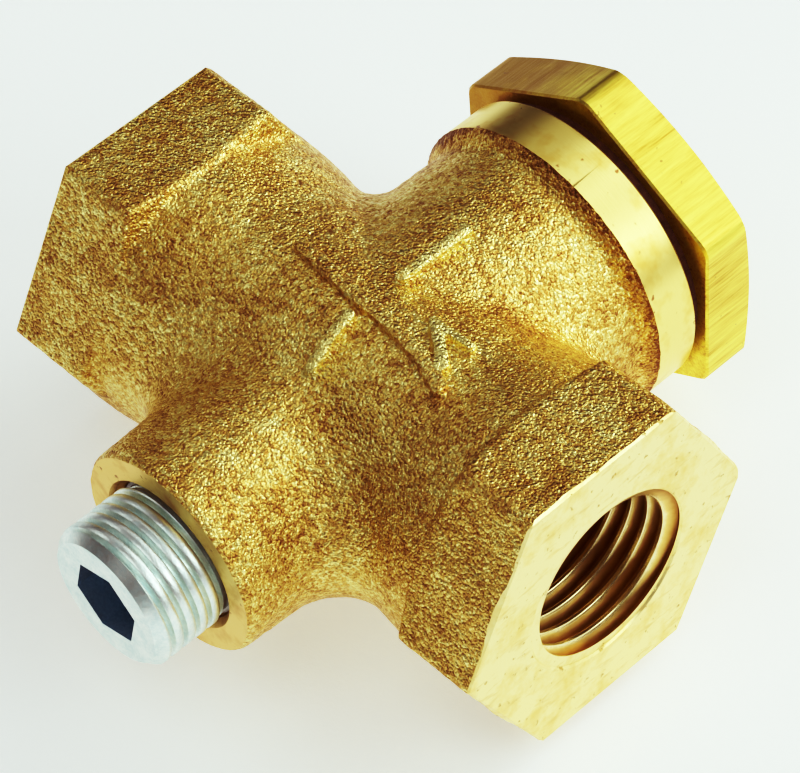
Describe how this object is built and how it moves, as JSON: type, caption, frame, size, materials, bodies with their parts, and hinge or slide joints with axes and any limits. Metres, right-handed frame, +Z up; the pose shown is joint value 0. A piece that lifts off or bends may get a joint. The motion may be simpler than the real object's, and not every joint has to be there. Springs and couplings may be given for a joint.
{
  "type": "backflow preventer",
  "caption": "Cast brass lift check valve with two female hexagon ports in line, a hexagon screw cap on one side, a hex-socket drain plug opposite and a spring-loaded poppet inside.",
  "frame": {"origin": "centre of the inlet port's mouth, on the flow axis", "axes": "+X along the flow axis from inlet to outlet, +Y along the cap axis towards the screw cap, +Z up, towards the side with the cast arrow"},
  "size_m": [0.042, 0.0463, 0.0252],
  "materials": {
    "cast_brass": "sand-cast skin with turned and faced rings",
    "cap_brass": "drawn hexagon bar, turned",
    "turned_brass": "turned",
    "zinc_steel": "clear-blue zinc plating",
    "stainless": "bright stainless",
    "seal_rubber": "moulded",
    "gasket_fibre": "pressed fibre",
    "joint_copper": "annealed copper",
    "bush_plastic": "moulded acetal",
    "seal_tape": "wound sealing tape"
  },
  "bodies": {
    "body": {"valve_body": "cast_brass", "seat_ring": "turned_brass", "seat_joint_ring": "joint_copper"},
    "poppet": {"poppet": "turned_brass", "seal_disc": "seal_rubber", "seal_washer": "stainless", "lock_washer": "stainless", "seal_screw": "stainless", "return_spring": "stainless"},
    "cap_gasket": {"cap_gasket": "gasket_fibre"},
    "cap": {"cap": "cap_brass", "guide_bush": "bush_plastic", "spring_washer": "stainless"},
    "plug_seal": {"drain_plug_seal": "seal_tape"},
    "plug": {"drain_plug": "zinc_steel"}
  },
  "joints": [
    {"name": "poppet_lift", "type": "slide", "parent": "body", "child": "poppet", "axis": [0, 1, 0], "range_m": [0, 0.0025], "stiffness_N_per_m": 120, "springref_m": -0.003, "deforming": ["return_spring"]},
    {"name": "cap_travel", "type": "slide", "parent": "body", "child": "cap_gasket", "axis": [0, 1, 0], "range_m": [0, 0.00535]},
    {"name": "cap_turn", "type": "hinge", "parent": "cap_gasket", "child": "cap", "pos_m": [0.021, 0, 0], "axis": [0, 1, 0], "range_deg": [0, 1440]},
    {"name": "plug_travel", "type": "slide", "parent": "body", "child": "plug_seal", "axis": [0, -1, 0], "range_m": [0, 0.00601]},
    {"name": "plug_turn", "type": "hinge", "parent": "plug_seal", "child": "plug", "pos_m": [0.021, 0, 0], "axis": [0, -1, 0], "range_deg": [0, 2160]}
  ],
  "couplings": [
    {"joint": "cap_travel", "follows": "cap_turn", "m_per_rad": 0.00021279},
    {"joint": "plug_travel", "follows": "plug_turn", "m_per_rad": 0.00015915}
  ]
}
